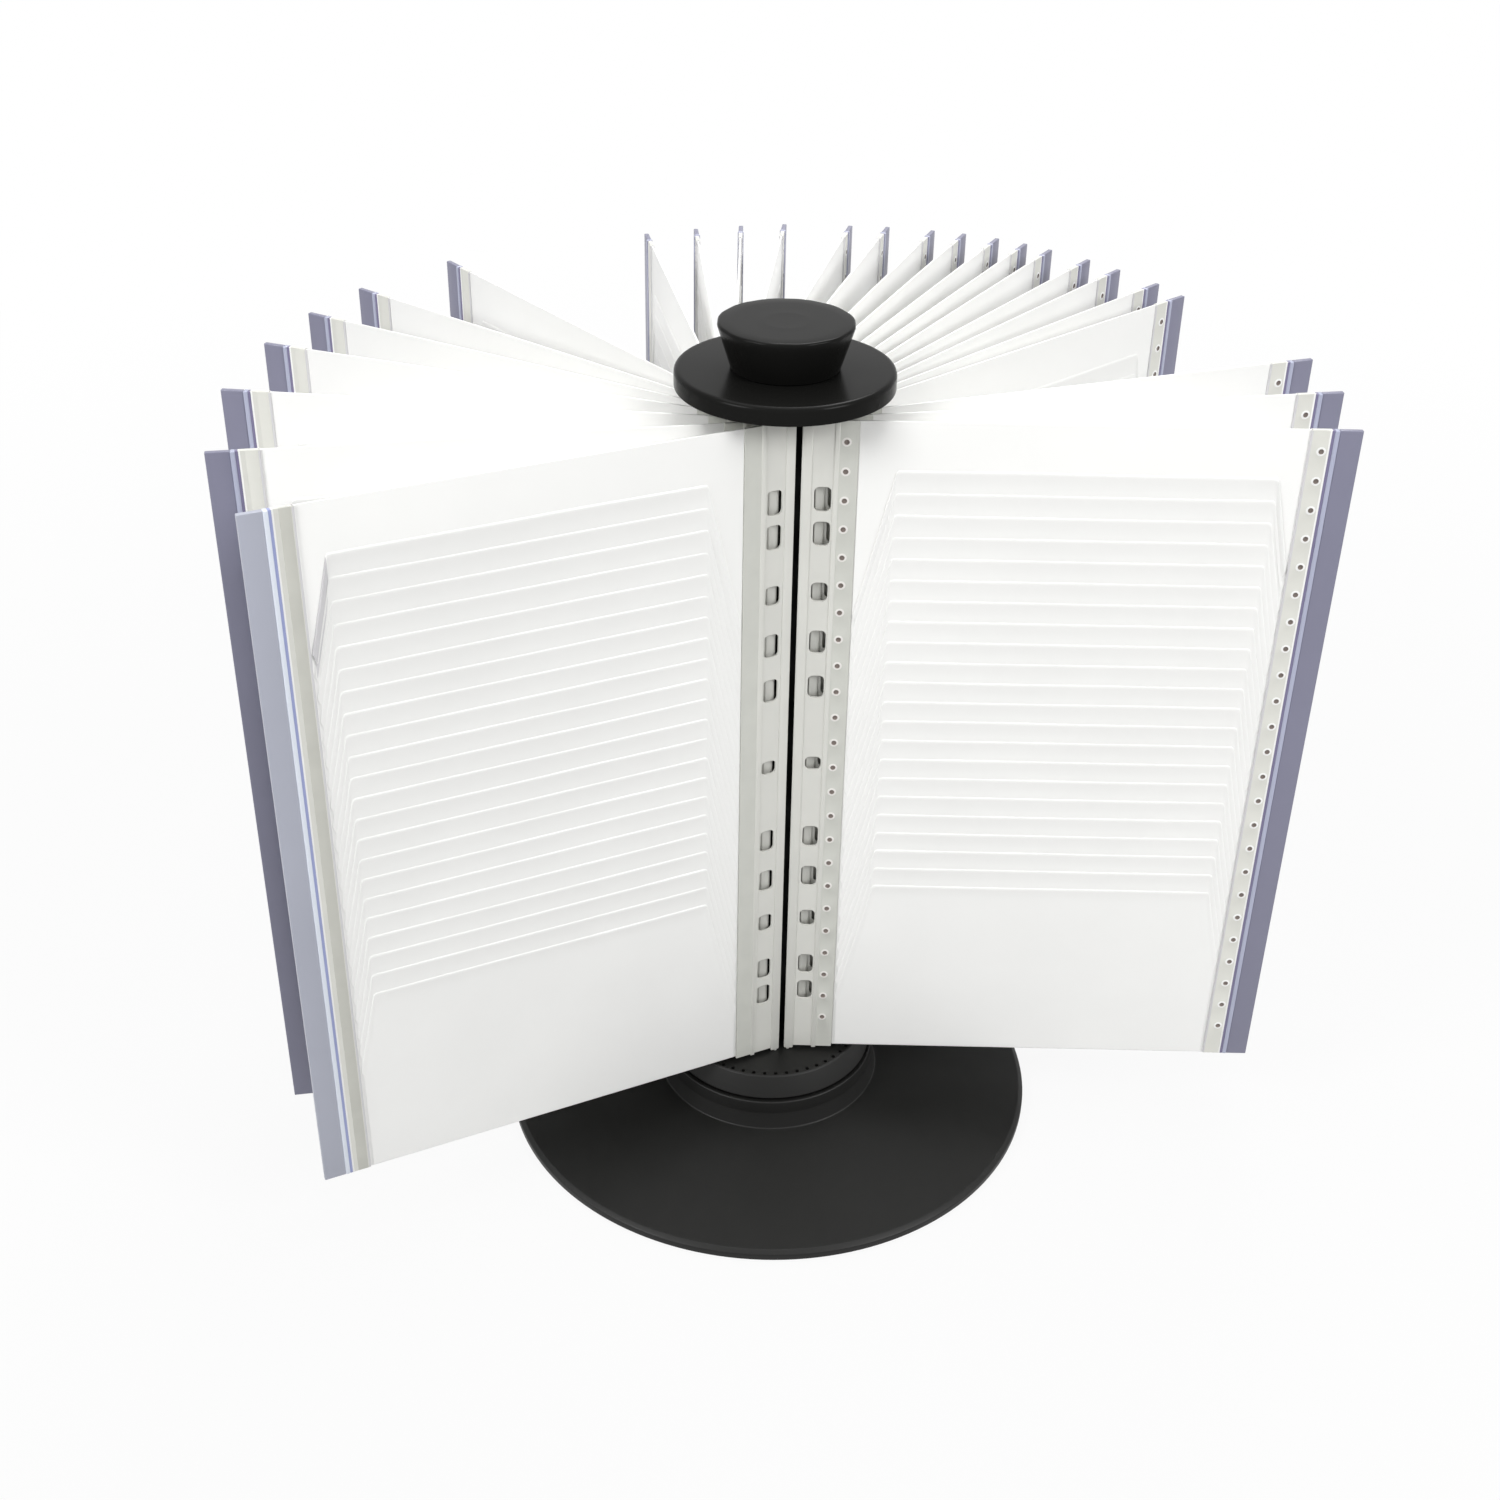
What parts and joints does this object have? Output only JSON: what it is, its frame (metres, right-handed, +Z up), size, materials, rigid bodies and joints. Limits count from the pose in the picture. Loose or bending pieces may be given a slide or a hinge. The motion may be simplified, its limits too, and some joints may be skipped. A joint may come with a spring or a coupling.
{
  "type": "filing carousel",
  "caption": "Rotary desk carousel: white pocket panels hinged round a turning black column on a disc base, with a top disc and clamp knob.",
  "frame": {"origin": "on the carousel's turning axis, at the table surface that the foot ring stands on", "axes": "+Z up along the turning axis; -Y is the open front between the two front panels; +X to the viewer's right"},
  "size_m": [0.4379, 0.3476, 0.3727],
  "materials": {
    "black_plastic": "satin moulded",
    "foot_rubber": "matt",
    "bright_steel": "turned",
    "nylon": "natural",
    "white_plastic": "satin moulded",
    "pocket_film": "smooth film"
  },
  "bodies": {
    "base": {"base_plate": "black_plastic", "foot_ring": "foot_rubber", "spindle": "bright_steel", "thrust_washer": "nylon", "retaining_ring": "bright_steel"},
    "carousel": {"drum": "black_plastic", "column": "black_plastic", "top_disc": "black_plastic"},
    "knob": {"clamp_knob": "black_plastic", "clamp_stud": "bright_steel"},
    "panel_01": {"spine_01": "white_plastic", "leaf_01": "pocket_film"},
    "panel_02": {"spine_02": "white_plastic", "leaf_02": "pocket_film"},
    "panel_03": {"spine_03": "white_plastic", "leaf_03": "pocket_film"},
    "panel_04": {"spine_04": "white_plastic", "leaf_04": "pocket_film"},
    "panel_05": {"spine_05": "white_plastic", "leaf_05": "pocket_film"},
    "panel_06": {"spine_06": "white_plastic", "leaf_06": "pocket_film"},
    "panel_07": {"spine_07": "white_plastic", "leaf_07": "pocket_film"},
    "panel_08": {"spine_08": "white_plastic", "leaf_08": "pocket_film"},
    "panel_09": {"spine_09": "white_plastic", "leaf_09": "pocket_film"},
    "panel_10": {"spine_10": "white_plastic", "leaf_10": "pocket_film"},
    "panel_11": {"spine_11": "white_plastic", "leaf_11": "pocket_film"},
    "panel_12": {"spine_12": "white_plastic", "leaf_12": "pocket_film"},
    "panel_13": {"spine_13": "white_plastic", "leaf_13": "pocket_film"},
    "panel_14": {"spine_14": "white_plastic", "leaf_14": "pocket_film"},
    "panel_15": {"spine_15": "white_plastic", "leaf_15": "pocket_film"},
    "panel_16": {"spine_16": "white_plastic", "leaf_16": "pocket_film"},
    "panel_17": {"spine_17": "white_plastic", "leaf_17": "pocket_film"},
    "panel_18": {"spine_18": "white_plastic", "leaf_18": "pocket_film"},
    "panel_19": {"spine_19": "white_plastic", "leaf_19": "pocket_film"},
    "panel_20": {"spine_20": "white_plastic", "leaf_20": "pocket_film"},
    "panel_21": {"spine_21": "white_plastic", "leaf_21": "pocket_film"},
    "panel_22": {"spine_22": "white_plastic", "leaf_22": "pocket_film"},
    "panel_23": {"spine_23": "white_plastic", "leaf_23": "pocket_film"},
    "panel_24": {"spine_24": "white_plastic", "leaf_24": "pocket_film"},
    "panel_25": {"spine_25": "white_plastic", "leaf_25": "pocket_film"}
  },
  "joints": [
    {"name": "carousel_turn", "type": "hinge", "parent": "base", "child": "carousel", "pos_m": [0, 0, 0.0245], "axis": [0, 0, 1], "continuous": true},
    {"name": "knob_turn", "type": "hinge", "parent": "carousel", "child": "knob", "pos_m": [0, 0, 0.3547], "axis": [0, 0, 1], "continuous": true},
    {"name": "panel_01_swing", "type": "hinge", "parent": "carousel", "child": "panel_01", "pos_m": [0.00301, -0.02381, 0.0356], "axis": [0, 0, 1], "range_deg": [-5.25, 140]},
    {"name": "panel_02_swing", "type": "hinge", "parent": "carousel", "child": "panel_02", "pos_m": [-0.00301, -0.02381, 0.0356], "axis": [0, 0, 1], "range_deg": [-4.25, 14.5]},
    {"name": "panel_03_swing", "type": "hinge", "parent": "carousel", "child": "panel_03", "pos_m": [-0.00884, -0.02231, 0.0356], "axis": [0, 0, 1], "range_deg": [-2.25, 16]},
    {"name": "panel_04_swing", "type": "hinge", "parent": "carousel", "child": "panel_04", "pos_m": [-0.01411, -0.01942, 0.0356], "axis": [0, 0, 1], "range_deg": [-3.5, 13.25]},
    {"name": "panel_05_swing", "type": "hinge", "parent": "carousel", "child": "panel_05", "pos_m": [-0.01849, -0.0153, 0.0356], "axis": [0, 0, 1], "range_deg": [-8, 9.5]},
    {"name": "panel_06_swing", "type": "hinge", "parent": "carousel", "child": "panel_06", "pos_m": [-0.02172, -0.01022, 0.0356], "axis": [0, 0, 1], "range_deg": [-12.25, 8.75]},
    {"name": "panel_07_swing", "type": "hinge", "parent": "carousel", "child": "panel_07", "pos_m": [-0.02357, -0.0045, 0.0356], "axis": [0, 0, 1], "range_deg": [-13.25, 13.25]},
    {"name": "panel_08_swing", "type": "hinge", "parent": "carousel", "child": "panel_08", "pos_m": [-0.02395, 0.00151, 0.0356], "axis": [0, 0, 1], "range_deg": [-2, 26.5]},
    {"name": "panel_09_swing", "type": "hinge", "parent": "carousel", "child": "panel_09", "pos_m": [-0.02283, 0.00742, 0.0356], "axis": [0, 0, 1], "range_deg": [-4.25, 5.5]},
    {"name": "panel_10_swing", "type": "hinge", "parent": "carousel", "child": "panel_10", "pos_m": [-0.02026, 0.01286, 0.0356], "axis": [0, 0, 1], "range_deg": [-4.5, 4.75]},
    {"name": "panel_11_swing", "type": "hinge", "parent": "carousel", "child": "panel_11", "pos_m": [-0.01643, 0.0175, 0.0356], "axis": [0, 0, 1], "range_deg": [-7.5, 4.5]},
    {"name": "panel_12_swing", "type": "hinge", "parent": "carousel", "child": "panel_12", "pos_m": [-0.01156, 0.02103, 0.0356], "axis": [0, 0, 1], "range_deg": [-3.5, 7.5]},
    {"name": "panel_13_swing", "type": "hinge", "parent": "carousel", "child": "panel_13", "pos_m": [-0.00597, 0.02325, 0.0356], "axis": [0, 0, 1], "range_deg": [-4.75, 3.75]},
    {"name": "panel_14_swing", "type": "hinge", "parent": "carousel", "child": "panel_14", "pos_m": [0, 0.024, 0.0356], "axis": [0, 0, 1], "range_deg": [-3, 4.75]},
    {"name": "panel_15_swing", "type": "hinge", "parent": "carousel", "child": "panel_15", "pos_m": [0.00597, 0.02325, 0.0356], "axis": [0, 0, 1], "range_deg": [-3.25, 3]},
    {"name": "panel_16_swing", "type": "hinge", "parent": "carousel", "child": "panel_16", "pos_m": [0.01156, 0.02103, 0.0356], "axis": [0, 0, 1], "range_deg": [-2.75, 3.25]},
    {"name": "panel_17_swing", "type": "hinge", "parent": "carousel", "child": "panel_17", "pos_m": [0.01643, 0.0175, 0.0356], "axis": [0, 0, 1], "range_deg": [-2.5, 2.75]},
    {"name": "panel_18_swing", "type": "hinge", "parent": "carousel", "child": "panel_18", "pos_m": [0.02026, 0.01286, 0.0356], "axis": [0, 0, 1], "range_deg": [-4.5, 2.5]},
    {"name": "panel_19_swing", "type": "hinge", "parent": "carousel", "child": "panel_19", "pos_m": [0.02283, 0.00742, 0.0356], "axis": [0, 0, 1], "range_deg": [-3.75, 4.5]},
    {"name": "panel_20_swing", "type": "hinge", "parent": "carousel", "child": "panel_20", "pos_m": [0.02395, 0.00151, 0.0356], "axis": [0, 0, 1], "range_deg": [-5.25, 3.75]},
    {"name": "panel_21_swing", "type": "hinge", "parent": "carousel", "child": "panel_21", "pos_m": [0.02357, -0.0045, 0.0356], "axis": [0, 0, 1], "range_deg": [-3.75, 5.25]},
    {"name": "panel_22_swing", "type": "hinge", "parent": "carousel", "child": "panel_22", "pos_m": [0.02172, -0.01022, 0.0356], "axis": [0, 0, 1], "range_deg": [-22.75, 3]},
    {"name": "panel_23_swing", "type": "hinge", "parent": "carousel", "child": "panel_23", "pos_m": [0.01849, -0.0153, 0.0356], "axis": [0, 0, 1], "range_deg": [-8.75, 16.5]},
    {"name": "panel_24_swing", "type": "hinge", "parent": "carousel", "child": "panel_24", "pos_m": [0.01411, -0.01942, 0.0356], "axis": [0, 0, 1], "range_deg": [-9.75, 8]},
    {"name": "panel_25_swing", "type": "hinge", "parent": "carousel", "child": "panel_25", "pos_m": [0.00884, -0.02231, 0.0356], "axis": [0, 0, 1], "range_deg": [-140, 8.25]}
  ]
}
